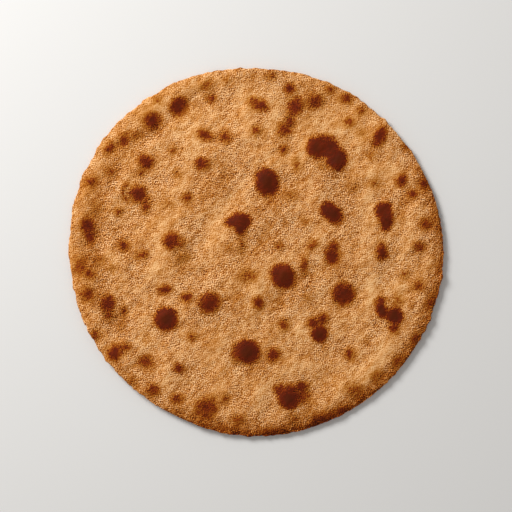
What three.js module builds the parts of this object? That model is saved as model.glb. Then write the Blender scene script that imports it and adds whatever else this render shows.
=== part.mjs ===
// A chapati: a thin round of unleavened wholewheat dough, rolled out by hand and baked on a hot griddle.
// Millimetres, +Z up. The origin is at the middle of the face that the bread rests on, +X to the right
// and +Y away from the viewer.
import * as THREE from "three";
import { mergeVertices } from "three/addons/utils/BufferGeometryUtils.js";

// Driving dimensions.
const WIDTH = 180; // across, along X
const DEPTH = 177; // across, along Y
const DOUGH = 2.4; // thickness between the two baked faces
const RIM_ROUND = 1.7; // how far the rounded edge reaches in from the outline
const RIM_LIFT = 2.4; // how far the edge would curl up if every lobe of the curl met there
const FLAT_SHARE = 0.64; // share of the radius that lies flat on the table
const WAVE = 0.4; // height of the shallow waves across the upper face
const CALM_RIM = 0.9; // share of the radius past which the waves die away

// How finely the faces are divided.
const SEGMENTS = 120; // around
const TOP_RINGS = 20; // from the edge to the middle of the upper face
const RIM_STEPS = 5; // over the rounded edge
const CURL_STEPS = 4; // under the curled margin

// The uneven outline of a hand-rolled round: [lobes around, depth in mm, angle of a lobe in degrees].
const OUTLINE_LOBES = [
  [2, 0.7, 135],
  [3, 0.35, 20],
  [5, 0.22, 65],
  [7, 0.16, 10],
];

// How the curl of the edge goes up and down around the bread: a steady share of RIM_LIFT, and
// [lobes around, share of RIM_LIFT, angle of a lobe in degrees].
const CURL_SHARE = 0.54;
const CURL_LOBES = [
  [1, 0.16, 305],
  [2, 0.16, 40],
  [3, 0.14, 100],
];

// Steam blisters under the darkest toasted spots: [x, y, radius, height].
const BLISTERS = [
  [30, 50.5, 8.5, 1.4],
  [38.5, 43, 7.5, 1.2],
  [4.6, 33.8, 8, 1.2],
  [61.2, 18, 7, 1.0],
  [35.8, 19.4, 7, 1.0],
  [-8.4, 13.7, 7.5, 1.0],
  [12.7, -11.3, 7.5, 1.0],
  [42, -19.9, 6.5, 0.9],
  [63.6, -29.5, 8, 1.0],
  [30, -38.2, 6.5, 0.9],
  [-5, -47.8, 9, 1.4],
  [16.1, -69.4, 9, 1.4],
  [-22.3, -23.8, 6.5, 0.9],
  [-43.4, -32.4, 7.5, 1.0],
  [-40.1, 5, 6.5, 0.9],
  [-56.4, 28.6, 6.5, 0.8],
  [-70.8, -25.7, 6.5, 0.8],
  [-37.7, 70.3, 6.5, 0.8],
  [58.3, 55, 6.5, 0.8],
];

const { degToRad, smoothstep } = THREE.MathUtils;

function lobes(list, angle) {
  return list.reduce((sum, [count, size, at]) => sum + size * Math.cos(count * (angle - degToRad(at))), 0);
}

// Distance from the middle to the edge, towards an angle.
function outline(angle) {
  const oval = Math.hypot((WIDTH / 2) * Math.cos(angle), (DEPTH / 2) * Math.sin(angle));
  return oval + lobes(OUTLINE_LOBES, angle);
}

// How far the dough is raised off the table, at a share of the radius.
function curl(share, angle) {
  const amount = CURL_SHARE + lobes(CURL_LOBES, angle);
  return RIM_LIFT * amount * smoothstep(share, FLAT_SHARE, 1) ** 1.5;
}

// Long shallow waves, their crests running from the lower left to the upper right.
function waves(x, y) {
  const across = (x - y) * Math.SQRT1_2;
  const along = (x + y) * Math.SQRT1_2;
  const broad = Math.cos(across / 6.3 + 0.9 * Math.sin(along / 17));
  const slight = Math.cos(across / 3.4 + 1.4 * Math.cos(along / 12) + 2);
  return WAVE * (0.65 * broad + 0.35 * slight);
}

function blisters(x, y) {
  return BLISTERS.reduce((sum, [bx, by, radius, height]) => {
    const away = Math.hypot(x - bx, y - by) / radius;
    return away < 1 ? sum + height * (1 - away * away) ** 2 : sum;
  }, 0);
}

// Half of the bread's section: out along the lower face, round the edge and back along the upper face.
function section() {
  const radius = WIDTH / 2;
  const inner = radius - RIM_ROUND;
  const points = [new THREE.Vector2(0, 0)];
  for (let i = 0; i < CURL_STEPS; i++) {
    points.push(new THREE.Vector2(THREE.MathUtils.lerp(FLAT_SHARE * radius, inner, i / CURL_STEPS), 0));
  }
  for (let i = 0; i <= RIM_STEPS; i++) {
    const turn = Math.PI * (i / RIM_STEPS - 0.5);
    points.push(new THREE.Vector2(inner + RIM_ROUND * Math.cos(turn), (DOUGH / 2) * (1 + Math.sin(turn))));
  }
  for (let i = 1; i <= TOP_RINGS; i++) {
    points.push(new THREE.Vector2(inner * (1 - i / TOP_RINGS), DOUGH));
  }
  return points;
}

// Moves the middle of the geometry's footprint to the origin.
function centreFootprint(geometry) {
  geometry.computeBoundingBox();
  const middle = geometry.boundingBox.getCenter(new THREE.Vector3());
  geometry.translate(-middle.x, -middle.y, 0);
}

// The flat turned disc, pushed into the uneven shape of a baked round.
function breadGeometry() {
  const disc = new THREE.LatheGeometry(section(), SEGMENTS).rotateX(Math.PI / 2);
  disc.deleteAttribute("normal");
  disc.deleteAttribute("uv");
  const geometry = mergeVertices(disc, 1e-3);
  const place = geometry.getAttribute("position");
  for (let i = 0; i < place.count; i++) {
    const angle = Math.atan2(place.getY(i), place.getX(i));
    const share = Math.hypot(place.getX(i), place.getY(i)) / (WIDTH / 2);
    const x = share * outline(angle) * Math.cos(angle);
    const y = share * outline(angle) * Math.sin(angle);
    const height = place.getZ(i);
    const upper = height / DOUGH; // 0 on the lower face, 1 on the upper one
    const fade = 1 - smoothstep(share, CALM_RIM, 1);
    const relief = upper * (fade * waves(x, y) + blisters(x, y));
    place.setXYZ(i, x, y, height + curl(share, angle) + relief);
  }
  centreFootprint(geometry);
  geometry.computeVertexNormals();
  return geometry;
}

const toastedDough = new THREE.MeshStandardMaterial({ color: 0xc99350, roughness: 0.85, metalness: 0 });

const bread = new THREE.Mesh(breadGeometry(), toastedDough);
bread.name = "chapati";

const group = new THREE.Group();
group.name = "chapati_flatbread";
group.add(bread);

export default group;
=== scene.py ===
"""A chapati: a thin round of wholewheat dough, rolled out by hand and baked on a hot griddle.

Laid out as an add-on with one tool for the bread and one for the stage that it is shown on.
Lengths in the marks and creases below are millimetres, with +X to the right and +Y away from the viewer.
"""

import math

import bpy
import numpy as np
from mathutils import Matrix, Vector, noise


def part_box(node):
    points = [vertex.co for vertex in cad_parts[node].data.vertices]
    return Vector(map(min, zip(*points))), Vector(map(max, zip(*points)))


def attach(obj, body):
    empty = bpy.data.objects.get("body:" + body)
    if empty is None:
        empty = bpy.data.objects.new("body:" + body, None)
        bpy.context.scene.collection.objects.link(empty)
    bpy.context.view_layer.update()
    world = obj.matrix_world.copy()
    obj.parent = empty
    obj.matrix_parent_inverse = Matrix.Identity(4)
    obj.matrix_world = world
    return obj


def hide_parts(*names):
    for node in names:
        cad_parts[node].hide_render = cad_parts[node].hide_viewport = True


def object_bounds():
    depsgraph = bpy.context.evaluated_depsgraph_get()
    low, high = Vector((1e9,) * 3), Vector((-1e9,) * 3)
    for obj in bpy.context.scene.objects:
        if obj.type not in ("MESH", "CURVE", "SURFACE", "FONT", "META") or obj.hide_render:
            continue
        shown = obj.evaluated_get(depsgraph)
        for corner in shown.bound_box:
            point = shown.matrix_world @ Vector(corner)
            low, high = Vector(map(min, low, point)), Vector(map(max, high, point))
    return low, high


bl_info = {
    "name": "Chapati flatbread",
    "version": (1, 0, 0),
    "blender": (4, 5, 0),
    "location": "3D View > Sidebar > Chapati",
    "description": "Models a griddle-baked chapati and the stage that it is shown on",
    "category": "Add Mesh",
}

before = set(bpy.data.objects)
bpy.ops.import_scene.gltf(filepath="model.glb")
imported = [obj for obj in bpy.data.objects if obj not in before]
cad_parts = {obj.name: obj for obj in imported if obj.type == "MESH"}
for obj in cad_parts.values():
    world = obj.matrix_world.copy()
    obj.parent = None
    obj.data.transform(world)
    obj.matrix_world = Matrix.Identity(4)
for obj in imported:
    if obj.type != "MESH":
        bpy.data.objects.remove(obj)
CAD_LOW, CAD_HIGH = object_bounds()

NODE = "chapati"
BODY = "root"
SLOT = "toasted_dough"
MM = 0.001
# The grain of the rolled dough runs up to the right, and its lumps are stretched along it.
GRAIN_TURN = math.radians(48)
RELIEF_STRETCH = 1.9
COLOUR_STRETCH = 1.8

# Toasted marks on the upper face: x, y, length, width, turn of the length from +X in degrees.
BURNT = (
    # The largest blister, shaped like a bean.
    (29.8, 50.4, 11.0, 10.0, 0),
    (35.0, 49.6, 9.6, 8.6, -20),
    (38.8, 44.6, 10.4, 9.4, 90),
    # The upper part.
    (-37.4, 70.4, 7.0, 6.0, 60),
    (-49.7, 63.2, 5.4, 5.0, 0),
    (59.6, 56.0, 7.2, 4.4, 65),
    (3.1, 70.4, 3.4, 3.2, 0),
    (14.4, 58.4, 2.8, 2.6, 0),
    (16.6, 78.0, 2.4, 2.4, 0),
    # The upper middle.
    (5.2, 33.8, 13.0, 10.6, 105),
    (36.6, 18.6, 11.4, 7.4, -50),
    (33.6, 20.2, 5.4, 5.2, 0),
    (61.0, 19.8, 7.6, 7.4, 90),
    (63.2, 21.4, 4.6, 3.8, 90),
    (62.2, 16.8, 7.6, 6.4, 90),
    (62.6, 13.8, 6.6, 4.8, 85),
    (-6.0, 14.8, 7.2, 6.6, 0),
    (-8.4, 16.0, 6.6, 4.6, 8),
    (-10.4, 14.6, 8.0, 4.8, 5),
    (-7.4, 11.6, 5.6, 6.2, 0),
    (-56.6, 28.0, 6.2, 6.0, 0),
    # The middle.
    (60.8, -0.6, 4.4, 3.6, 90),
    (36.4, -2.6, 6.0, 5.8, 90),
    (1.2, -24.4, 3.0, 3.0, 0),
    (-22.6, -24.6, 7.2, 6.2, 20),
    (12.9, -11.4, 10.8, 11.0, 0),
    (15.8, -14.4, 4.4, 4.2, 0),
    (9.6, -9.8, 4.4, 4.2, 0),
    (42.4, -20.8, 8.2, 7.2, 0),
    (-43.2, -32.2, 10.6, 10.4, 0),
    # The lower part.
    (30.5, -39.3, 7.8, 7.4, 90),
    (60.2, -28.0, 8.0, 4.8, 110),
    (66.4, -30.6, 7.6, 7.8, 0),
    (-67.6, -48.4, 5.0, 4.4, 60),
    (-4.2, -48.0, 11.2, 11.4, 0),
    (44.7, -48.9, 3.0, 2.2, 90),
    (15.9, -70.2, 10.2, 9.6, 0),
)
DARK = (
    (33.8, 54.3, 6.0, 4.0, -20),
    (-37.2, 70.0, 8.8, 7.2, 60),
    (-24.7, 56.4, 6.7, 4.4, -25),
    (-26.2, 42.3, 6.8, 5.6, 0),
    (-52.8, 43.4, 7.2, 6.2, -40),
    (13.4, 49.2, 3.4, 3.0, 60),
    (16.1, 78.6, 4.3, 4.0, 0),
    (18.9, 69.7, 8.6, 6.7, 70),
    (59.4, 55.2, 8.0, 5.4, 65),
    (57.4, 51.9, 3.4, 3.2, 0),
    (69.8, 34.4, 5.8, 4.8, 80),
    (75.2, 27.6, 3.8, 3.4, 0),
    (-80.8, 12.6, 8.0, 6.2, 90),
    (-79.9, 7.4, 5.6, 3.6, 95),
    (37.2, 2.4, 5.0, 4.4, 90),
    (36.7, -1.2, 7.6, 6.4, 85),
    (60.5, 0.0, 7.8, 5.2, 90),
    (42.0, -20.2, 10.8, 10.4, 0),
    (1.2, -24.6, 5.4, 5.0, 80),
    (-40.6, 5.2, 8.0, 7.8, 0),
    (-22.3, -24.3, 9.8, 9.0, 20),
    (-71.0, -24.8, 7.4, 6.4, 80),
    (-33.4, -21.8, 4.6, 3.8, 0),
    (-43.8, -18.1, 6.0, 4.0, 20),
    (27.8, -34.2, 5.6, 4.6, 0),
    (32.0, -32.4, 5.0, 4.4, 60),
    (60.1, -23.8, 4.2, 3.8, 0),
    (66.2, -36.3, 4.4, 4.6, 0),
    (-67.5, -48.2, 5.8, 5.2, 60),
    (8.3, -49.4, 6.4, 5.8, 70),
    (-36.9, -56.0, 4.8, 4.0, 0),
    (11.8, -66.4, 6.4, 4.8, -20),
    (16.8, -66.0, 7.0, 4.6, 0),
    (21.6, -65.0, 6.6, 4.6, 25),
    # A thin arc where the skin has cracked.
    (-62.8, 31.5, 2.8, 0.9, 55),
    (-63.8, 28.7, 3.6, 0.9, 88),
    (-63.0, 25.9, 2.2, 0.9, 120),
)
BROWN = (
    (-49.7, 63.1, 8.0, 7.6, 0),
    (-21.2, 73.7, 4.4, 3.8, 0),
    (-63.5, 54.0, 6.6, 4.8, 50),
    (-70.3, 49.8, 5.8, 4.4, 40),
    (-14.7, 55.3, 5.8, 5.2, 0),
    (0.0, 58.4, 4.0, 3.8, 0),
    (12.9, 59.2, 6.6, 5.4, 60),
    (0.8, 71.0, 9.0, 5.6, -25),
    (28.6, 72.4, 8.0, 6.6, 40),
    (16.0, 62.6, 6.0, 4.4, 60),
    (35.8, 78.0, 3.8, 3.2, 10),
    (43.3, 73.5, 5.4, 4.3, 0),
    (45.0, 62.2, 4.8, 4.4, 0),
    (80.6, 32.9, 4.4, 4.0, 0),
    (-79.2, 33.7, 5.0, 4.4, 0),
    (-56.6, 28.2, 8.4, 8.2, 0),
    (-53.0, 22.2, 6.2, 4.2, 70),
    (-33.3, 26.1, 5.0, 4.8, 0),
    (-66.2, 19.2, 3.2, 3.0, 0),
    (-63.6, 3.0, 4.8, 4.0, -10),
    (-54.9, -1.4, 5.0, 4.4, 0),
    (81.4, 13.4, 6.0, 5.4, 0),
    (78.1, 2.4, 5.2, 4.8, 0),
    (10.8, 2.8, 3.4, 3.0, 0),
    (27.1, 3.1, 5.4, 3.6, 45),
    (23.2, -6.3, 7.2, 3.6, 85),
    (78.0, -16.2, 4.8, 4.2, 30),
    (-80.0, -10.4, 4.8, 4.0, -40),
    (-80.7, -20.4, 6.0, 5.6, 0),
    (-63.5, -28.4, 3.8, 2.6, 80),
    (-70.8, -30.6, 4.2, 3.6, 80),
    (-30.8, -40.8, 3.6, 3.4, 0),
    (13.4, -35.2, 4.4, 4.2, 60),
    (-62.8, -45.6, 5.0, 3.8, 20),
    (-9.6, -48.8, 8.4, 4.4, 90),
    (45.0, -48.7, 5.2, 4.8, 0),
    (-53.0, -52.6, 6.4, 4.8, -15),
    (-49.2, -66.2, 6.0, 5.6, 0),
    (-38.0, -70.2, 5.2, 4.0, 0),
    (-23.6, -74.6, 10.4, 9.6, 20),
    (21.4, -69.2, 8.4, 7.2, 0),
)
LIGHT = (
    (-23.6, 80.0, 6.8, 4.2, 30),
    (-47.0, 72.4, 3.2, 3.0, 0),
    (-57.6, 56.0, 4.6, 3.8, 0),
    (-40.1, 48.8, 3.6, 3.2, 0),
    (-55.0, 38.2, 4.4, 3.4, 60),
    (-70.0, 38.5, 4.2, 4.0, 0),
    (7.6, 84.1, 3.6, 3.2, 0),
    (50.5, 67.7, 4.4, 3.6, 0),
    (19.2, 42.0, 4.3, 3.4, 90),
    (57.0, 33.4, 4.0, 3.8, 0),
    (72.2, 50.6, 5.0, 3.8, -50),
    (-36.4, 4.6, 5.0, 5.6, 0),
    (-13.0, 2.2, 3.0, 2.8, 0),
    (-6.8, 3.6, 5.6, 3.6, 85),
    (-84.4, -7.6, 7.0, 6.0, 80),
    (-3.4, -11.6, 7.4, 6.0, 20),
    (71.2, -10.8, 3.6, 3.2, 0),
    (68.3, -23.4, 4.0, 3.8, 0),
    (83.8, -24.0, 5.0, 4.0, 60),
    (-77.2, -40.2, 6.0, 5.0, 60),
    (76.6, -41.6, 6.4, 4.0, 60),
    (68.0, -51.8, 5.4, 4.0, 45),
    (58.0, -59.4, 6.8, 5.0, 20),
    (47.0, -66.4, 8.4, 7.0, -20),
    (41.2, -76.4, 5.0, 3.6, 30),
    (31.8, -79.6, 6.0, 3.6, 20),
    (-14.7, -70.7, 4.4, 4.0, 0),
    (18.2, -80.0, 3.8, 3.4, 0),
    (-8.4, -80.4, 6.4, 4.6, 0),
)
FAINT = (
    (-14.0, 82.2, 4.4, 4.0, 0),
    (-42.4, 23.2, 5.0, 4.6, 0),
    (-37.9, 37.5, 5.6, 4.4, -30),
    (-76.5, 20.6, 5.0, 4.4, 0),
    (51.2, 56.4, 5.0, 4.4, 0),
    (55.2, 46.0, 5.2, 4.6, 0),
    (31.6, 41.4, 5.0, 4.2, -40),
    (47.0, 30.7, 5.0, 4.6, 0),
    (16.5, 27.1, 5.8, 5.0, 0),
    (23.2, 14.7, 5.0, 4.4, 0),
    (-35.0, -2.4, 9.0, 7.0, 30),
    (-75.1, -4.1, 5.0, 4.0, 0),
    (-69.3, -7.9, 5.0, 4.4, 0),
    (24.7, -21.5, 5.2, 4.6, 0),
    (-64.6, -35.2, 5.2, 4.0, 30),
    (-59.9, -62.2, 6.0, 4.0, -45),
    (7.6, -86.0, 8.0, 3.0, 0),
)
# Each list of marks with how far it is toasted at the outline and in the middle, from 0 to 1.
MARKS = (
    (BURNT, 0.86, 1.08),
    (DARK, 0.66, 0.94),
    (BROWN, 0.5, 0.84),
    (LIGHT, 0.36, 0.64),
    (FAINT, 0.2, 0.4),
)

# Broad bands of painted light and painted shade on the upper face, for the lit and shaded flanks of its
# gentle ridges, which are also raised a little: x1, y1, x2, y2, width, how much paler.
LIT_AND_SHADED_BANDS = (
    # The upper left.
    (-6, 77, -3, 52, 9, 0.12),
    (-14, 75, 8, 75, 7, 0.06),
    (-50, 72, -42, 65, 8, 0.1),
    (-54, 60, -43, 55, 7, -0.13),
    (-7, 84, 10, 84, 6, -0.08),
    (20, 80, 29, 77, 6, -0.08),
    (-16, 75, -24, 60, 9, 0.07),
    (-20, 62, -40, 56, 9, 0.08),
    (-36, 59, -56, 47, 8, 0.06),
    (-28, 60, -31, 41, 7, 0.06),
    (-31, 44, -39, 13, 8, 0.09),
    (-46, 18, -46, -2, 9, 0.1),
    (-44, 4, -51, -17, 9, 0.1),
    (-71, 4, -66, -13, 7, 0.05),
    (-10, 43, -24, 24, 12, -0.13),
    (-46, 41, -44, 28, 8, -0.05),
    (-22, 52, -10, 54, 9, -0.05),
    (-26, 42, -27, 25, 9, -0.04),
    (-26, 14, -39, 3, 6, -0.08),
    (-39, 1, -33, -9, 10, -0.06),
    (-64, 39, -77, 32, 10, -0.05),
    (-61, 29, -53, 21, 10, -0.05),
    (-56, 45, -51, 37, 8, -0.04),
    (-79, 15, -78, 2, 9, -0.04),
    (-72, 17, -57, -8, 11, -0.09),
    (-84, 6, -80, -8, 10, -0.13),
    # The upper right.
    (8, 75, 10, 58, 8, 0.1),
    (22, 61, 50, 60, 10, 0.12),
    (26, 56, 20, 43, 8, 0.14),
    (34, 39, 36, 28, 8, -0.05),
    (21, 45, 5, 43, 7, 0.08),
    (47, 65, 49, 44, 7, 0.07),
    (50, 38, 72, 39, 9, 0.12),
    (42, 36, 46, 11, 11, -0.1),
    (54, 35, 54, 6, 8, 0.11),
    (54, 10, 52, -14, 8, 0.07),
    (77, 24, 71, -7, 8, 0.09),
    (29, 12, 30, -5, 7, 0.06),
    (34, 32, 19, 18, 8, 0.05),
    (17, 67, 15, 50, 7, -0.05),
    (20, 76, 31, 66, 12, -0.05),
    (84, 34, 66, 21, 9, -0.09),
    (62, 24, 62, 4, 6, -0.04),
    (33, 54, 40, 40, 12, -0.05),
    (34, 24, 46, 16, 9, -0.04),
    # The middle.
    (-8, 41, -30, 19, 6, -0.05),
    (-29, 20, -43, 6, 5, -0.05),
    (-1, 38, -20, 17, 8, 0.06),
    (-17, 23, -21, 4, 10, 0.09),
    (-20, 9, -30, 0, 8, 0.07),
    (-27, -3, -31, -17, 6, 0.05),
    (14, -1, 4, -6, 7, 0.08),
    (4, -5, -1, -25, 8, 0.12),
    (12, 20, 0, -4, 14, -0.1),
    (-6, 16, -5, -12, 9, -0.05),
    (13, 39, 2, 19, 13, -0.14),
    (12, -18, 33, -8, 10, -0.13),
    (40, 3, 42, -24, 13, -0.06),
    (-40, -9, -18, -13, 10, -0.07),
    (-36, -23, -14, -30, 12, -0.08),
    (-15, -20, -8, -24, 10, -0.1),
    (8, -22, 15, -26, 10, -0.12),
    (8, -34, 18, -24, 10, -0.03),
    # The lower right.
    (58, -17, 74, -17, 7, 0.07),
    (57, -8, 54, -32, 8, 0.14),
    (54, -31, 35, -32, 5, 0.02),
    (22, -28, 22, -50, 9, 0.09),
    (70, -38, 53, -60, 10, 0.13),
    (30, -54, 10, -58, 8, 0.08),
    (60, -50, 50, -64, 8, 0.06),
    (55, -56, 34, -71, 9, 0.13),
    (8, -82, 36, -80, 8, -0.09),
    (27, -35, 34, -48, 6, -0.05),
    (62, -26, 70, -32, 9, -0.02),
    (69, -18, 72, -30, 7, 0.07),
    # The lower left.
    (-16, -35, -28, -33, 9, -0.06),
    (6, -30, -22, -46, 7, 0.03),
    (-16, -40, -22, -58, 9, 0.07),
    (-30, -35, -36, -52, 7, 0.05),
    (-54, -28, -55, -42, 6, 0.05),
    (-50, -42, -58, -48, 8, 0.07),
    (-41, -54, -46, -74, 9, 0.14),
    (-32, -78, -14, -83, 9, -0.1),
    (14, -56, 1, -68, 7, 0.08),
    (3, -64, 0, -78, 8, 0.1),
    (-18, -78, -2, -75, 6, 0.05),
    (-78, -20, -62, -35, 10, -0.07),
    (-47, -28, -40, -42, 11, -0.05),
    (-8, -55, 10, -54, 10, -0.1),
    (-56, -54, -46, -54, 9, -0.04),
    (-10, -60, -6, -76, 9, -0.04),
    (12, -68, 28, -69, 11, -0.1),
    (-72, -46, -60, -62, 9, -0.04),
)

# Long folds in the upper face, from one end to the other: x1, y1, x2, y2, width, height.
FOLDS = (
    (-1.2, 42.3, -32.9, -4.8, 9.0, -0.8),
    (4.0, 33.0, -24.0, -8.0, 14.0, 0.4),
    (-26.6, 77.5, -49.7, 57.8, 9.0, -0.6),
    (-49.7, 57.8, -70.3, 48.7, 9.0, -0.5),
    (-74.0, 40.0, -82.0, 5.0, 9.0, -0.4),
    (32.9, 1.2, 3.1, -21.4, 10.0, 0.6),
    (7.4, -63.6, -8.9, -76.6, 10.0, 0.5),
    (-36.0, -44.0, -50.0, -66.0, 16.0, 0.6),
    (78.5, 25.2, 73.7, -6.0, 9.0, 0.5),
    (58.0, 66.0, 66.0, 44.0, 12.0, 0.4),
    (54.0, -36.0, 40.0, -58.0, 12.0, 0.4),
)


def deselect():
    bpy.ops.object.select_all(action="DESELECT")


def edit_all():
    """Opens the active mesh in edit mode with everything selected."""
    bpy.ops.object.mode_set(mode="EDIT")
    bpy.ops.mesh.select_all(action="SELECT")


def leave_edit():
    bpy.ops.object.mode_set(mode="OBJECT")


def apply_modifier(piece, kind, **settings):
    """Adds a modifier with these settings and applies it."""
    modifier = piece.modifiers.new(kind.title(), kind)
    for name, value in settings.items():
        setattr(modifier, name, value)
    bpy.context.view_layer.objects.active = piece
    bpy.ops.object.modifier_apply(modifier=modifier.name)


def places(piece):
    """The points of a mesh, in millimetres."""
    flat = np.empty(len(piece.data.vertices) * 3)
    piece.data.vertices.foreach_get("co", flat)
    return flat.reshape(-1, 3) / MM


def directions(piece):
    """The normals of a mesh's points."""
    flat = np.empty(len(piece.data.vertices) * 3)
    piece.data.vertex_normals.foreach_get("vector", flat)
    return flat.reshape(-1, 3)


def smoothstep(low, high, value):
    share = np.clip((value - low) / (high - low), 0, 1)
    return share * share * (3 - 2 * share)


def paint_group(piece, name, weights):
    """Makes a vertex group with one weight for each point."""
    steps = 400
    group = piece.vertex_groups.new(name=name)
    levels = np.rint(np.clip(weights, 0, 1) * steps).astype(int)
    for level in np.unique(levels[levels > 0]):
        group.add(np.flatnonzero(levels == level).tolist(), float(level) / steps, "REPLACE")


def store(piece, name, values):
    """Stores one number for each point, for the material to read."""
    attribute = piece.data.attributes.new(name, "FLOAT", "POINT")
    attribute.data.foreach_set("value", np.asarray(values, np.float32))


def wander(points, size, seed):
    """Smooth noise for each point, two numbers between about -1 and 1, with lumps of one size."""
    # Without a seed of its own the noise would differ from run to run.
    noise.seed_set(seed)
    offset = Vector((seed * 17.3, seed * 9.1, seed * 5.7))
    found = [noise.noise_vector(Vector(point) / size + offset)[:2] for point in points]
    return np.array(found)


def linear(colour):
    """A colour of the screen, 0 to 255, as the light that a shader wants."""
    shares = [part / 255 for part in colour]
    return [part / 12.92 if part < 0.04045 else ((part + 0.055) / 1.055) ** 2.4 for part in shares]


# ---------------------------------------------------------------- the shape

# Each ring of the first slab's faces, as a share of the one outside it.
RING_SHARES = (0.87, 0.85)
# How far the outlines of the marks wander, and the size of the wandering, in millimetres.
WANDERING = ((0.6, 2.6), (0.3, 1.1))
# How far the marks of the lower face are turned from those of the upper face.
UNDER_TURN = math.radians(130)
# Stretches of the edge: how much each counts, its direction in degrees, and the cosines of the angle
# from that direction at which it starts and is full.
CURLED = (1, 155, 0.2, 0.9)
LOWER_RIGHT = (0.59, -40, 0.05, 0.7)
BOTTOM = (0.3, -95, 0.6, 0.95)
LEFT = (0.15, 185, 0.75, 1)
TOP = (0.07, 95, 0.5, 1)
UPPER_PART = (1, 80, 0.1, 0.8)
# How high the curled lip stands and how deep the groove inside it is, in millimetres.
CURL = 0.4
# How much darker the border is away from the upper part, and how much paler the curled lip is painted, a
# painted highlight where it faces the light at the upper left.
BORDER_DARKENING = 0.1
LIP_LIGHT = 0.05


def rounded_copy():
    """A merged and rounded copy of the CAD bread, for the slab to be wrapped onto."""
    deselect()
    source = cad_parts[NODE]
    source.select_set(True)
    bpy.context.view_layer.objects.active = source
    bpy.ops.object.duplicate()
    copy = bpy.context.object
    edit_all()
    bpy.ops.mesh.remove_doubles(threshold=0.001 * MM)
    bpy.ops.mesh.tris_convert_to_quads()
    leave_edit()
    apply_modifier(copy, "SUBSURF", levels=2, render_levels=2)
    return copy


def slab(sizes):
    """A plain round slab a little larger than the bread, in even quads."""
    low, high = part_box(NODE)
    reach = high.x + sizes.slab_margin
    top = high.z + sizes.slab_margin / 2
    bottom = low.z - sizes.slab_margin / 2
    deselect()
    bpy.ops.mesh.primitive_circle_add(
        vertices=sizes.slab_sides, radius=reach, fill_type="NOTHING", location=(0, 0, top)
    )
    bread = bpy.context.object
    bread.name = bread.data.name = "chapati_bread"
    edit_all()
    bpy.ops.transform.resize(value=(1, high.y / high.x, 1))
    for share in RING_SHARES:
        bpy.ops.mesh.extrude_edges_move()
        bpy.ops.transform.resize(value=(share, share, 1), center_override=(0, 0, top))
    bpy.ops.mesh.fill_grid(span=sizes.slab_sides // 4)
    bpy.ops.mesh.select_all(action="SELECT")
    bpy.ops.mesh.extrude_region_move(TRANSFORM_OT_translate={"value": (0, 0, bottom - top)})
    bpy.ops.mesh.select_all(action="SELECT")
    bpy.ops.mesh.normals_make_consistent(inside=False)
    leave_edit()
    bpy.ops.object.transform_apply(location=True, rotation=True, scale=True)
    return bread


def wrap(bread, sizes):
    """Divides the slab finely and lays it onto the rounded CAD bread."""
    apply_modifier(bread, "SUBSURF", levels=sizes.fineness, render_levels=sizes.fineness)
    target = rounded_copy()
    apply_modifier(bread, "SHRINKWRAP", target=target, wrap_method="NEAREST_SURFACEPOINT")
    bpy.data.objects.remove(target)
    apply_modifier(bread, "SMOOTH", factor=0.5, iterations=4)


def mark_distance(points, mark):
    """How far points lie from the middle of a mark, where 1 is its outline."""
    x, y, length, width, turn = mark
    angle = math.radians(turn)
    dx = points[:, 0] - x
    dy = points[:, 1] - y
    lengthways = (dx * math.cos(angle) + dy * math.sin(angle)) / (length / 2)
    across = (dy * math.cos(angle) - dx * math.sin(angle)) / (width / 2)
    return np.hypot(lengthways, across)


def toasting(points, warp):
    """How deep each point lies inside the marks, in millimetres, and how far it is toasted there."""
    ragged = points[:, :2] + warp
    # Over how many millimetres marks run together, and how strongly the hotter of two shows.
    merging = 0.5
    hotter = 3
    far = 20
    tiny = 1e-9
    total = np.full(len(points), tiny)
    weight = np.full(len(points), tiny)
    toasted = np.zeros(len(points))
    for marks, outer, middle in MARKS:
        for mark in marks:
            inward = 1 - mark_distance(ragged, mark)
            depth = math.sqrt(mark[2] * mark[3]) / 2 * inward
            total += np.exp(np.clip(depth, -far, far) / merging)
            share = np.exp(np.clip(depth, -far, 1) / merging + hotter * outer)
            weight += share
            toasted += np.minimum(outer + (middle - outer) * np.maximum(inward, 0), 1) * share
    return merging * np.log(total), toasted / weight


def along(points, lines):
    """What the folds or bands of one list add up to at each point. Each fades out at both ends."""
    tip = 0.02
    height = np.zeros(len(points))
    for x1, y1, x2, y2, width, rise in lines:
        run = np.array((x2 - x1, y2 - y1))
        reach = points[:, :2] - (x1, y1)
        share = np.clip(reach @ run / (run @ run), 0, 1)
        off = np.hypot(*(reach - share[:, None] * run).T)
        ends = np.sin(np.pi * np.clip(share, tip, 1 - tip)) ** 0.5
        height += rise * ends * np.exp(-((off / (width / 2)) ** 2))
    return height


def inset(points):
    """How far inside the edge each point lies, in millimetres."""
    turns = np.arctan2(points[:, 1], points[:, 0]) / (2 * math.pi) % 1
    radius = np.hypot(points[:, 0], points[:, 1])
    steps = 240
    step = np.minimum((turns * steps).astype(int), steps - 1)
    edge = np.zeros(steps)
    np.maximum.at(edge, step, radius)
    middles = (np.arange(steps) + 0.5) / steps
    return np.maximum(np.interp(turns, middles, edge, period=1) - radius, 0)


def humps(points, chosen):
    """How far each point stands above the chosen points around it, averaged over a grid of cells."""
    half = 100
    cell = 1.5
    cells = 140
    rounds = 6
    tiny = 1e-6
    column, row = np.floor((points[:, :2] + half) / cell).astype(int).T
    total = np.zeros((cells, cells))
    count = np.zeros((cells, cells))
    np.add.at(total, (column[chosen], row[chosen]), points[chosen, 2])
    np.add.at(count, (column[chosen], row[chosen]), 1)
    for axis in (0, 1) * rounds:
        total = (np.roll(total, 1, axis) + total + np.roll(total, -1, axis)) / 3
        count = (np.roll(count, 1, axis) + count + np.roll(count, -1, axis)) / 3
    level = total / np.maximum(count, tiny)
    return points[:, 2] - level[column, row]


def towards(points, stretch):
    """How far each point is on one stretch of the edge."""
    amount, direction, low, high = stretch
    angle = np.arctan2(points[:, 1], points[:, 0])
    return amount * smoothstep(low, high, np.cos(angle - math.radians(direction)))


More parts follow.
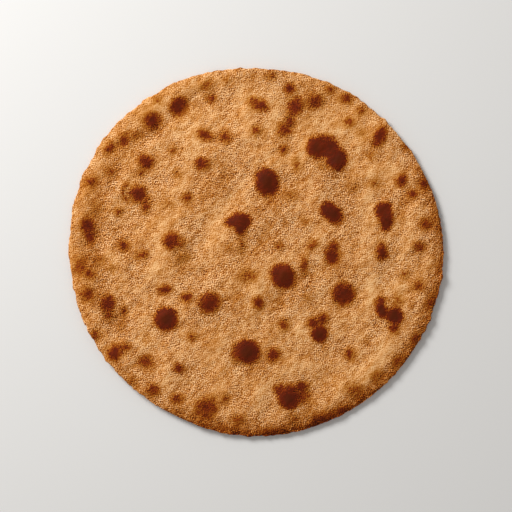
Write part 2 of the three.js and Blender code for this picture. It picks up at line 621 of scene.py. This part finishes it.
def near_edge(inside, start, end):
    """1 up to one distance inside the edge and 0 from another on, in millimetres."""
    return 1 - smoothstep(start, end, inside)


def ring(inside, middle, spread):
    """1 at one distance inside the edge, fading out to both sides, in millimetres."""
    return np.exp(-(((inside - middle) / spread) ** 2))


def sides(points):
    """How far each point is on the curled upper left side, toward the light, and on the lower right side,
    away from it, which is browned and given painted shade.
    """
    return towards(points, CURLED), towards(points, LOWER_RIGHT) + towards(points, BOTTOM)


def under_points(points):
    """The points of the lower face, turned and mirrored so that the marks fall elsewhere."""
    x = -points[:, 0]
    y = points[:, 1]
    turned_x = x * math.cos(UNDER_TURN) - y * math.sin(UNDER_TURN)
    turned_y = x * math.sin(UNDER_TURN) + y * math.cos(UNDER_TURN)
    return np.stack((turned_x, turned_y), 1)


def field(points, facing, ragged=True):
    """The depth inside the marks and the toasting there, for both faces."""
    warp = np.zeros((len(points), 2))
    if ragged:
        warp = sum(far * wander(points, size, seed) for seed, (far, size) in enumerate(WANDERING, 1))
    top = toasting(points[:, :2], warp)
    bottom = toasting(under_points(points), warp)
    upper = smoothstep(-0.2, 0.2, facing)
    return [one * upper + other * (1 - upper) for one, other in zip(top, bottom)]


def cloud(name, size, detail=1):
    """A cloudy texture with lumps of one size."""
    texture = bpy.data.textures.new(name, "CLOUDS")
    texture.noise_scale = size
    texture.noise_depth = detail
    return texture


def slanted_grain():
    """An empty whose axes follow the grain of the rolled dough, for textures to be laid along."""
    deselect()
    bpy.ops.object.empty_add(location=(0, 0, 0), rotation=(0, 0, GRAIN_TURN))
    empty = bpy.context.object
    empty.scale = (RELIEF_STRETCH, 1, 1)
    bpy.context.view_layer.update()
    return empty


def relieve(bread, sizes):
    """Raises blisters, folds, dimples and grain on the faces, and roughens the edge."""
    points = places(bread)
    facing = directions(bread)[:, 2]
    inside = inset(points)
    left, lower = sides(points)
    depth, heat = field(points, facing, ragged=False)
    toast = heat * smoothstep(-2.5, 2.0, depth)
    upper = smoothstep(0.1, 0.8, facing)
    lip = CURL * left * ring(inside, middle=5, spread=3)
    groove = CURL * left * ring(inside, middle=14.4, spread=3.6)
    shoulder = lower * near_edge(inside, 0, 8)
    lifted = along(points, FOLDS) + sizes.band_lift / MM * along(points, LIT_AND_SHADED_BANDS)
    folds = upper * (lifted * smoothstep(2, 8, inside) + lip - groove - shoulder)
    paint_group(bread, "upper", upper)
    paint_group(bread, "under", smoothstep(0.1, 0.8, -facing))
    paint_group(bread, "edge", 1 - smoothstep(0.75, 0.95, np.abs(facing)))
    paint_group(bread, "blisters", toast * upper)
    paint_group(bread, "ridges", folds)
    paint_group(bread, "valleys", -folds)

    grain = slanted_grain()
    laid = {"texture_coords": "OBJECT", "texture_coords_object": grain}

    def raise_up(group, strength, texture=None, middle=0.5, direction="Z", **more):
        apply_modifier(
            bread, "DISPLACE", vertex_group=group, strength=strength, mid_level=middle,
            direction=direction, texture=texture, **more,
        )

    raise_up("blisters", sizes.blister_height, middle=0)
    raise_up("ridges", 1 * MM, middle=0)
    raise_up("valleys", -1 * MM, middle=0)
    raise_up("upper", sizes.dimples, cloud("Dimples", 7 * MM), **laid)
    raise_up("upper", sizes.crumple, cloud("Crumple", 3.2 * MM), **laid)
    raise_up("upper", sizes.grain, cloud("Grain", 1.3 * MM), **laid)
    raise_up("under", sizes.crumple, cloud("Under", 4 * MM, detail=2), middle=0.3)
    raise_up("edge", sizes.edge_waver, cloud("Waver", 11 * MM, detail=2), direction="NORMAL")
    raise_up("edge", sizes.edge_lumps, cloud("Lumps", 4.4 * MM), direction="NORMAL")
    raise_up("edge", sizes.edge_grain, cloud("Crumbs", 1.8 * MM), direction="NORMAL")
    bpy.data.objects.remove(grain)


def thin_underside(bread, sizes):
    """Thins out the mesh of the lower face, which is seen least."""
    faces_down = directions(bread)[:, 2] < -0.8
    paint_group(bread, "spare", faces_down.astype(float))
    triangles = sum(len(face.vertices) - 2 for face in bread.data.polygons)
    apply_modifier(
        bread, "DECIMATE", ratio=sizes.triangles / triangles, vertex_group="spare",
        use_collapse_triangulate=True,
    )


def describe(bread):
    """Stores what the material reads: the marks, and the relief, bands and edge from which it paints light
    and shade, beside the browning of the edge.
    """
    points = places(bread)
    facing = directions(bread)[:, 2]
    depth, heat = field(points, facing)
    inside = inset(points)
    left, lower = sides(points)
    upper = smoothstep(0.3, 0.8, facing)
    lip = near_edge(inside, 5, 12) * left
    store(bread, "mark_depth", depth)
    store(bread, "mark_heat", heat)
    # How far each point stands above its surroundings; the material paints light on the ridges and shade
    # in the hollows from it.
    store(bread, "hump", upper * smoothstep(2, 6, inside) * humps(points, facing > 0))
    # The bands of painted light and shade on the upper face.
    store(bread, "light_and_shade_band", upper * along(points, LIT_AND_SHADED_BANDS))
    store(bread, "lip", lip)
    # Painted shade in the groove inside the curled lip.
    store(bread, "hollow", ring(inside, middle=13.4, spread=4.6) * left)
    # The edge is darker: browned all round, and on the lower right, away from the light, also painted
    # shade. The curled lip at the upper left is painted paler, a painted highlight.
    border = smoothstep(1, 6, inside) * near_edge(inside, 10, 20)
    rim = near_edge(inside, 0, 8) * lower + near_edge(inside, 0, 10) * towards(points, LEFT)
    rim += BORDER_DARKENING * (1 - towards(points, UPPER_PART)) * border
    rim += towards(points, TOP) * near_edge(inside, 0, 6)
    store(bread, "rim", rim - LIP_LIGHT * lip)
    bread.vertex_groups.clear()


# ---------------------------------------------------------------- the crust

# The crust from burnt to floury: brightness, then the colour on the screen.
CRUST = (
    (25, (66, 23, 10)),
    (40, (86, 32, 11)),
    (55, (110, 41, 9)),
    (75, (139, 61, 11)),
    (95, (159, 82, 16)),
    (115, (178, 105, 29)),
    (135, (196, 125, 52)),
    (155, (213, 146, 76)),
    (175, (230, 166, 102)),
    (200, (246, 192, 130)),
)
# How the light of each colour changes where the crust is more orange.
ORANGE = (1.1, 0.965, 0.78)
# How the light of each colour changes where the crust is nearly burnt.
CRIMSON = (1.2, 0.72, 1.5)
# How much of each colour the finest grain adds and takes away; the grain is flour and bran, with painted
# light and shade on each speck.
POWDER = (0.3, 0.4, 0.72)

# The sizes of the specks, streaks and clouds in the crust's colour, in millimetres.
SPECK = 0.43
STREAK = 0.7
PATCH = 2.0
CLOUD = 5.0
ZONE = 9.0
DRIFT = 14.0
BROAD = 26.0
# The copies that are taken from the specks: their share and how many millimetres aside they are moved. The
# larger copy is moved toward the light at the upper left, which gives each speck painted light on one side
# and painted shade on the other.
SPECK_COPIES = ((0.65, (-0.37, 0.33, 0)), (0.35, (0.33, 0.37, 0)))
# How much darker the dark specks are made than the pale ones are made pale.
DARKER_DARK_SPECKS = 0.7
# How far the strength of the grain changes from zone to zone, how much weaker it is on the curled lip,
# and its least strength.
ZONE_CHANGE = 1.2
LIP_CALM = 0.25
LEAST_GRAIN = 0.3
# How much stronger the grain is in a half toasted mark, how fast it is lost in a burnt one, and the most
# that browned dough strengthens it.
MARK_GRAIN = 0.4
BURNT_CALM = 1.2
MOST_BROWN_GRAIN = 1.15
# How much of the grain changes the tone, and how dark a streak has to be to make a fleck.
GRAIN_TONE = 0.25
FLECK_START = 0.06
# How soft the edge of a mark is when it is hardly toasted, how much sharper it is when burnt, and how
# much of that lies outside and inside its outline.
PALE_SOFTNESS = 2.4
HOT_SHARPNESS = 1.4
SOFT_OUTSIDE = 1.2
SOFT_INSIDE = 0.7
# How much the streaks break up a mark, beside the specks.
STREAK_GRIT = 3.0
# How many millimetres outside a mark its halo reaches, and how far the patches move it.
HALO_REACH = 3.0
HALO_RAGGED = 3.0
# How cloudy what is burnt is.
CHAR_CLOUDS = 0.1
# Above this toasting a mark has no olive left.
OLIVE_END = 0.9
# How much more orange the darker edge is, for its browning.
RIM_WARMTH = 0.6
# The crimson rises with this power of the toasting, fades in what is wholly burnt, and peaks at about 1.
EMBER_POWER = 8.0
EMBER_GAIN = 23
# The roughness of the floury dough, and how much glossier what is burnt is.
DOUGH_ROUGHNESS = 0.85
BURNT_GLOSS = 0.25


class Wiring:
    """Adds nodes to one material and joins them up."""

    def __init__(self, name):
        self.material = bpy.data.materials.new(name)
        self.material.use_nodes = True
        self.tree = self.material.node_tree
        self.shader = self.tree.nodes["Principled BSDF"]

    def add(self, kind, inputs=None, output=0, **settings):
        """Adds a node with these inputs and settings, and gives one of its outputs."""
        node = self.tree.nodes.new(kind)
        for name, value in settings.items():
            setattr(node, name, value)
        for name, value in (inputs or {}).items():
            self.join(value, node.inputs[name])
        return node.outputs[output]

    def join(self, value, socket):
        """Joins a node's output to a socket, or sets the socket to a plain value."""
        if isinstance(value, bpy.types.NodeSocket):
            self.tree.links.new(value, socket)
        else:
            socket.default_value = value

    def sum(self, operation, first, second=0.0, third=0.0, clamp=False):
        """The result of one calculation."""
        inputs = {0: first, 1: second, 2: third}
        return self.add("ShaderNodeMath", inputs, operation=operation, use_clamp=clamp)

    def times(self, first, second, plus=0.0, clamp=False):
        """The product of two values, with a third added to it."""
        return self.sum("MULTIPLY_ADD", first, second, plus, clamp)

    def noise(self, vector, size, detail=1.0):
        """Noise between 0 and 1 with lumps of one size."""
        return self.add("ShaderNodeTexNoise", {"Vector": vector, "Scale": 1.0 / size, "Detail": detail})

    def centred(self, vector, size, amount=1.0, detail=1.0):
        """Noise around zero with lumps of one size."""
        return self.times(self.noise(vector, size, detail), amount, plus=-amount / 2)

    def between(self, value, low, high):
        """0 below one value and 1 above another, with a smooth change between them."""
        inputs = {0: value, 1: low, 2: high}
        return self.add("ShaderNodeMapRange", inputs, interpolation_type="SMOOTHSTEP")

    def mixed(self, share, colour, tint):
        """A colour multiplied by a share of a tint."""
        inputs = {0: share, 6: colour, 7: tint}
        settings = {"data_type": "RGBA", "blend_type": "MULTIPLY", "clamp_factor": False}
        return self.add("ShaderNodeMix", inputs, output=2, **settings)


def specks(wiring, flat):
    """Specks of flour and bran with painted light and shade: a fine noise less copies of itself that are
    moved aside, one toward the light.
    """
    speck = wiring.noise(flat, SPECK, detail=0.0)
    for share, aside in SPECK_COPIES:
        moved = wiring.add("ShaderNodeVectorMath", {0: flat, 1: aside}, operation="ADD")
        speck = wiring.times(wiring.noise(moved, SPECK, detail=0.0), -share, plus=speck)
    return wiring.times(speck, wiring.times(speck, -DARKER_DARK_SPECKS, plus=1.0))


def toast_levels(wiring, look, depth, heat, patch, streak, speck):
    """How far the crust is toasted, the same once the grain has broken it up, and the halo of a mark."""
    # The patches and streaks make the edge of a mark ragged.
    ragged = wiring.times(wiring.sum("ADD", patch, streak), look.ragged_edge / MM, plus=depth)
    soft_edge = look.soft_edge / MM
    soft = wiring.times(heat, -HOT_SHARPNESS * soft_edge, plus=PALE_SOFTNESS * soft_edge)
    inside = wiring.between(ragged, wiring.times(soft, -SOFT_OUTSIDE), wiring.times(soft, SOFT_INSIDE))
    level = wiring.times(heat, inside)
    # The grain breaks up most what is half toasted.
    grit = wiring.times(streak, STREAK_GRIT, plus=speck)
    half_toasted = wiring.sum("SUBTRACT", level, wiring.times(level, level))
    burnt = wiring.times(wiring.times(grit, half_toasted), look.graininess, plus=level, clamp=True)
    halo = wiring.between(wiring.times(patch, HALO_RAGGED, plus=depth), -HALO_REACH, 0.0)
    return level, burnt, wiring.times(halo, wiring.times(heat, heat))


def crust_ramp(wiring, tone):
    """The colour of the crust for its tone."""
    ramp = wiring.tree.nodes.new("ShaderNodeValToRGB")
    stops = ramp.color_ramp.elements
    while len(stops) < len(CRUST):
        stops.new(0.5)
    for stop, (brightness, colour) in zip(stops, CRUST):
        stop.position = brightness / 255
        stop.color = (*linear(colour), 1)
    wiring.join(tone, ramp.inputs[0])
    return ramp.outputs[0]


def crust_material(look):
    """Dry floury dough, burnt on the blisters and browned at the edge, with painted light and shade on its
    relief, its bands and its edge.
    """
    wiring = Wiring(SLOT)
    place = wiring.add("ShaderNodeTexCoord", output=3)
    flat = wiring.add("ShaderNodeMapping", {"Vector": place, "Scale": (1 / MM, 1 / MM, 1 / MM)})
    inputs = {"Vector": flat, "Rotation": (0, 0, GRAIN_TURN), "Scale": (COLOUR_STRETCH, 1, 1)}
    slanted = wiring.add("ShaderNodeMapping", inputs, vector_type="TEXTURE")

    depth, heat, hump, light_and_shade_band, lip, hollow, rim = (
        wiring.add("ShaderNodeAttribute", output=2, attribute_name=name)
        for name in ("mark_depth", "mark_heat", "hump", "light_and_shade_band", "lip", "hollow", "rim")
    )
    speck = specks(wiring, flat)
    streak = wiring.centred(slanted, STREAK)
    patch = wiring.centred(slanted, PATCH)
    cloudy = wiring.centred(slanted, CLOUD, detail=2.0)
    broad = wiring.centred(slanted, BROAD)
    level, burnt, halo = toast_levels(wiring, look, depth, heat, patch, streak, speck)

    # Beside random mottling and the real browning round marks, the tone gets painted light and shade: the
    # bands, light on ridges and shade in hollows, shade in the groove inside the lip, and at the edge
    # shade on the lower right as well as browning.
    tone = wiring.times(cloudy, look.mottle)
    for layer, strength in (
        (broad, look.shade),
        (hump, look.ridge_light_hollow_shade),
        (light_and_shade_band, look.bands),
        (halo, -look.halo_browning),
        (rim, -look.rim_browning_and_shade),
        (hollow, -look.hollow_shade),
    ):
        tone = wiring.times(layer, strength, plus=tone)

    # The grain is strong in coarse zones and browned dough, weak where it is pale, and lost where burnt.
    zone = wiring.centred(slanted, ZONE, amount=ZONE_CHANGE)
    coarse = wiring.times(lip, -LIP_CALM, plus=wiring.sum("ADD", zone, 1.0))
    coarse = wiring.sum("MAXIMUM", coarse, LEAST_GRAIN)
    force = wiring.times(wiring.between(burnt, 0.7, 1.0), -BURNT_CALM, plus=1.0)
    force = wiring.times(wiring.times(burnt, MARK_GRAIN, plus=force), coarse)
    browned = wiring.times(tone, -look.coarse_browns, plus=1.0)
    force = wiring.times(force, wiring.sum("MINIMUM", browned, MOST_BROWN_GRAIN))
    grain = wiring.times(wiring.times(speck, look.speckle), force)
    fleck = wiring.sum("MINIMUM", wiring.sum("ADD", streak, FLECK_START), 0.0)
    fleck = wiring.times(wiring.times(fleck, look.flecks), force)

    tone = wiring.sum("ADD", tone, fleck)
    tone = wiring.times(grain, GRAIN_TONE, plus=tone)
    tone = wiring.times(patch, look.patches, plus=tone)
    tone = wiring.sum("ADD", tone, look.floury)
    char = wiring.times(cloudy, CHAR_CLOUDS, plus=look.char)
    tone = wiring.add("ShaderNodeMix", {0: burnt, 2: tone, 3: char}, clamp_factor=True)

    inputs = {0: grain, 1: POWDER, 2: (1, 1, 1)}
    powder = wiring.add("ShaderNodeVectorMath", inputs, operation="MULTIPLY_ADD")
    powder = wiring.add("ShaderNodeVectorMath", {0: powder, 1: (0, 0, 0)}, operation="MAXIMUM")
    # The dough drifts between olive and orange, and brown marks are olive beside the burnt ones.
    olive = wiring.times(level, wiring.sum("MAXIMUM", wiring.sum("SUBTRACT", OLIVE_END, heat), 0.0))
    glow = wiring.centred(slanted, DRIFT, amount=look.warm_drift)
    glow = wiring.times(halo, look.warm_edges, plus=glow)
    glow = wiring.times(olive, -look.olive, plus=glow)
    glow = wiring.times(rim, RIM_WARMTH, plus=glow)
    # What is nearly burnt is crimson.
    ember = wiring.times(wiring.sum("POWER", burnt, EMBER_POWER), wiring.sum("SUBTRACT", 1.0, burnt))
    colour = wiring.mixed(1.0, crust_ramp(wiring, tone), powder)
    colour = wiring.mixed(glow, colour, (*ORANGE, 1))
    colour = wiring.mixed(wiring.times(ember, look.crimson * EMBER_GAIN), colour, (*CRIMSON, 1))

    shader = wiring.shader
    wiring.join(colour, shader.inputs["Base Color"])
    wiring.join(wiring.times(burnt, -BURNT_GLOSS, plus=DOUGH_ROUGHNESS), shader.inputs["Roughness"])
    shader.inputs["Specular IOR Level"].default_value = 0.05
    inputs = {"Height": wiring.times(streak, force), "Strength": 1.0, "Distance": look.grain_bump}
    wiring.join(wiring.add("ShaderNodeBump", inputs), shader.inputs["Normal"])
    return wiring.material


# ---------------------------------------------------------------- settings

class ChapatiSizes(bpy.types.PropertyGroup):
    """The sizes of the bread's relief."""

    slab_margin: bpy.props.FloatProperty(
        name="Slab margin", description="How far the first slab stands out past the bread",
        default=3 * MM, unit="LENGTH",
    )
    slab_sides: bpy.props.IntProperty(
        name="Slab sides", description="Sides of the first slab, a multiple of four", default=52,
    )
    fineness: bpy.props.IntProperty(
        name="Fineness", description="How many times the slab's faces are halved", default=4,
    )
    triangles: bpy.props.IntProperty(
        name="Triangles", description="Triangles of the finished bread", default=196000,
    )
    blister_height: bpy.props.FloatProperty(
        name="Blister height", description="Rise of the skin under a burnt mark",
        default=0.35 * MM, unit="LENGTH",
    )
    band_lift: bpy.props.FloatProperty(
        name="Band lift", description="How high a fully pale band would stand", default=3 * MM,
        unit="LENGTH",
    )
    dimples: bpy.props.FloatProperty(
        name="Dimples", description="Depth of the broad dimples", default=0.65 * MM, unit="LENGTH",
    )
    crumple: bpy.props.FloatProperty(
        name="Crumple", description="Depth of the small dimples", default=0.5 * MM, unit="LENGTH",
    )
    grain: bpy.props.FloatProperty(
        name="Grain", description="Depth of the floury grain", default=0.12 * MM, unit="LENGTH",
    )
    edge_waver: bpy.props.FloatProperty(
        name="Edge waver", description="How far the edge wanders in and out",
        default=1.4 * MM, unit="LENGTH",
    )
    edge_lumps: bpy.props.FloatProperty(
        name="Edge lumps", description="Depth of the small lumps and notches along the edge",
        default=1.2 * MM, unit="LENGTH",
    )
    edge_grain: bpy.props.FloatProperty(
        name="Edge grain", description="Depth of the crumbs along the edge",
        default=0.7 * MM, unit="LENGTH",
    )


class ChapatiLook(bpy.types.PropertyGroup):
    """The colours and the grain of the crust."""

    floury: bpy.props.FloatProperty(
        name="Floury", description="Brightness of the untoasted dough", default=0.598, subtype="FACTOR",
    )
    char: bpy.props.FloatProperty(
        name="Char", description="Brightness of a burnt mark", default=0.16, subtype="FACTOR",
    )
    # The darker edge: browning, and on the lower right painted shade.
    rim_browning_and_shade: bpy.props.FloatProperty(
        name="Rim browning and shade", description="How much darker the edge is", default=0.43, subtype="FACTOR",
    )
    speckle: bpy.props.FloatProperty(
        name="Speckle", description="Strength of the finest speckle", default=3.2, subtype="FACTOR",
    )
    coarse_browns: bpy.props.FloatProperty(
        name="Coarse browns", description="How much stronger the grain is where the dough is brown",
        default=4.5, subtype="FACTOR",
    )
    flecks: bpy.props.FloatProperty(
        name="Flecks", description="Darkness of the small bran flecks", default=1.05, subtype="FACTOR",
    )
    warm_edges: bpy.props.FloatProperty(
        name="Warm edges", description="How orange the dough is round a mark", default=0.05,
        subtype="FACTOR",
    )
    olive: bpy.props.FloatProperty(
        name="Olive", description="How much less orange brown marks are than burnt ones", default=1.6,
        subtype="FACTOR",
    )
    crimson: bpy.props.FloatProperty(
        name="Crimson", description="How crimson the crust is where it is nearly burnt", default=0.5,
        subtype="FACTOR",
    )
    warm_drift: bpy.props.FloatProperty(
        name="Warm drift", description="Slow changes between olive and orange", default=0.7,
        subtype="FACTOR",
    )
    patches: bpy.props.FloatProperty(
        name="Patches", description="Strength of the small patches", default=0.5, subtype="FACTOR",
    )
    mottle: bpy.props.FloatProperty(
        name="Mottle", description="Strength of the cloudy mottling", default=0.13, subtype="FACTOR",
    )
    shade: bpy.props.FloatProperty(
        name="Shade", description="Strength of the broad changes of shade", default=0.02, subtype="FACTOR",
    )
    # How strongly the bands paint light and shade onto the dough.
    bands: bpy.props.FloatProperty(
        name="Bands", description="Strength of the broad pale and shaded bands", default=0.76,
        subtype="FACTOR",
    )
    halo_browning: bpy.props.FloatProperty(
        name="Halo browning", description="How much darker the dough is round a mark", default=0.05,
        subtype="FACTOR",
    )
    # Painted light on ridges and painted shade in hollows, for each millimetre of height.
    ridge_light_hollow_shade: bpy.props.FloatProperty(
        name="Ridge light and hollow shade", description="How much brighter the dough is for each millimetre of height",
        default=0.06, subtype="FACTOR",
    )
    # Painted shade in the groove inside the curled lip.
    hollow_shade: bpy.props.FloatProperty(
        name="Hollow shade", description="How much darker the dough is inside the curled lip",
        default=0.045, subtype="FACTOR",
    )
    graininess: bpy.props.FloatProperty(
        name="Graininess", description="How far the grain breaks up a pale mark", default=2.0,
        subtype="FACTOR",
    )
    ragged_edge: bpy.props.FloatProperty(
        name="Ragged edge", description="How far the grain moves the edge of a mark",
        default=2.0 * MM, unit="LENGTH",
    )
    soft_edge: bpy.props.FloatProperty(
        name="Soft edge", description="How wide the edge of a mark is", default=1.3 * MM, unit="LENGTH",
    )
    grain_bump: bpy.props.FloatProperty(
        name="Grain bump", description="Depth of the finest grain", default=0.05 * MM, unit="LENGTH",
    )


class ChapatiStage(bpy.types.PropertyGroup):
    """The floor, the lights and the camera."""

    floor_colour: bpy.props.FloatVectorProperty(
        name="Floor colour", description="Pale plain floor", size=3, subtype="COLOR",
        default=(0.8, 0.79, 0.77),
    )
    key_power: bpy.props.FloatProperty(
        name="Key light", description="Power of the window light from the upper left",
        default=7.4, unit="POWER",
    )
    key_size: bpy.props.FloatProperty(
        name="Key size", description="Width of the window light", default=0.35, unit="LENGTH",
    )
    key_distance: bpy.props.FloatProperty(
        name="Key distance", description="From the bread to the window light", default=0.9,
        unit="LENGTH",
    )
    fill: bpy.props.FloatProperty(
        name="Fill", description="Strength of the soft light from all round", default=0.38,
    )
    lens: bpy.props.FloatProperty(
        name="Lens", description="Focal length in millimetres", default=85.0, subtype="DISTANCE_CAMERA",
    )
    picture_width: bpy.props.FloatProperty(
        name="Picture width", description="What the camera takes in at the height of the bread",
        default=0.24576, unit="LENGTH",
    )
    picture_drop: bpy.props.FloatProperty(
        name="Picture drop", description="How far the picture's middle lies below the bread's",
        default=1.92 * MM, unit="LENGTH",
    )


# ---------------------------------------------------------------- tools

class CHAPATI_OT_bread(bpy.types.Operator):
    """Model the chapati over the CAD bread"""

    bl_idname = "chapati.bread"
    bl_label = "Add chapati"

    def execute(self, context):
        sizes = context.scene.chapati_sizes
        look = context.scene.chapati_look
        bread = slab(sizes)
        wrap(bread, sizes)
        relieve(bread, sizes)
        thin_underside(bread, sizes)
        describe(bread)
        deselect()
        bread.select_set(True)
        context.view_layer.objects.active = bread
        bpy.ops.object.shade_smooth()
        bread.data.materials.append(crust_material(look))
        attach(bread, BODY)
        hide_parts(NODE)
        return {"FINISHED"}


class CHAPATI_OT_stage(bpy.types.Operator):
    """Set up the floor, the lights and the camera"""

    bl_idname = "chapati.stage"
    bl_label = "Add stage"

    def execute(self, context):
        stage = context.scene.chapati_stage
        deselect()
        bpy.ops.mesh.primitive_plane_add(size=4, location=(0, 0, 0))
        floor = context.object
        floor.name = "floor"
        wiring = Wiring("pale_floor")
        wiring.shader.inputs["Base Color"].default_value = (*stage.floor_colour, 1)
        wiring.shader.inputs["Roughness"].default_value = 0.9
        floor.data.materials.append(wiring.material)

        # The window is at the upper left.
        turn = math.radians(135)
        rise = math.radians(38)
        level = math.cos(rise)
        toward = Vector((math.cos(turn) * level, math.sin(turn) * level, math.sin(rise)))
        bpy.ops.object.light_add(type="AREA", location=toward * stage.key_distance)
        key = context.object
        key.name = "window_light"
        key.data.energy = stage.key_power
        key.data.size = stage.key_size
        key.rotation_euler = toward.to_track_quat("Z", "Y").to_euler()

        world = bpy.data.worlds.new("soft_room")
        world.use_nodes = True
        background = world.node_tree.nodes["Background"]
        background.inputs["Color"].default_value = (1, 0.98, 0.96, 1)
        background.inputs["Strength"].default_value = stage.fill
        context.scene.world = world

        # The camera looks straight down, and its picture has its set width at the height of the face.
        sensor_width = 36
        face_share = 0.7
        height = stage.picture_width * stage.lens / sensor_width + CAD_HIGH.z * face_share
        bpy.ops.object.camera_add(location=(0, -stage.picture_drop, height), rotation=(0, 0, 0))
        camera = context.object
        camera.data.lens = stage.lens
        camera.data.clip_start = 0.01
        context.scene.camera = camera
        context.scene.view_settings.view_transform = "Standard"
        return {"FINISHED"}


class CHAPATI_PT_panel(bpy.types.Panel):
    """Lists the tools and their settings"""

    bl_idname = "CHAPATI_PT_panel"
    bl_label = "Chapati"
    bl_space_type = "VIEW_3D"
    bl_region_type = "UI"
    bl_category = "Chapati"

    def draw(self, context):
        layout = self.layout
        layout.operator(CHAPATI_OT_bread.bl_idname)
        layout.operator(CHAPATI_OT_stage.bl_idname)
        for group in (
            context.scene.chapati_sizes, context.scene.chapati_look, context.scene.chapati_stage
        ):
            box = layout.box()
            for name in group.bl_rna.properties.keys():
                if name not in ("rna_type", "name"):
                    box.prop(group, name)


CLASSES = (
    ChapatiSizes,
    ChapatiLook,
    ChapatiStage,
    CHAPATI_OT_bread,
    CHAPATI_OT_stage,
    CHAPATI_PT_panel,
)


def register():
    for each in CLASSES:
        bpy.utils.register_class(each)
    bpy.types.Scene.chapati_sizes = bpy.props.PointerProperty(type=ChapatiSizes)
    bpy.types.Scene.chapati_look = bpy.props.PointerProperty(type=ChapatiLook)
    bpy.types.Scene.chapati_stage = bpy.props.PointerProperty(type=ChapatiStage)


def unregister():
    del bpy.types.Scene.chapati_stage
    del bpy.types.Scene.chapati_look
    del bpy.types.Scene.chapati_sizes
    for each in reversed(CLASSES):
        bpy.utils.unregister_class(each)


def main():
    register()
    bpy.ops.chapati.bread()
    bpy.ops.chapati.stage()


if __name__ == "__main__":
    main()
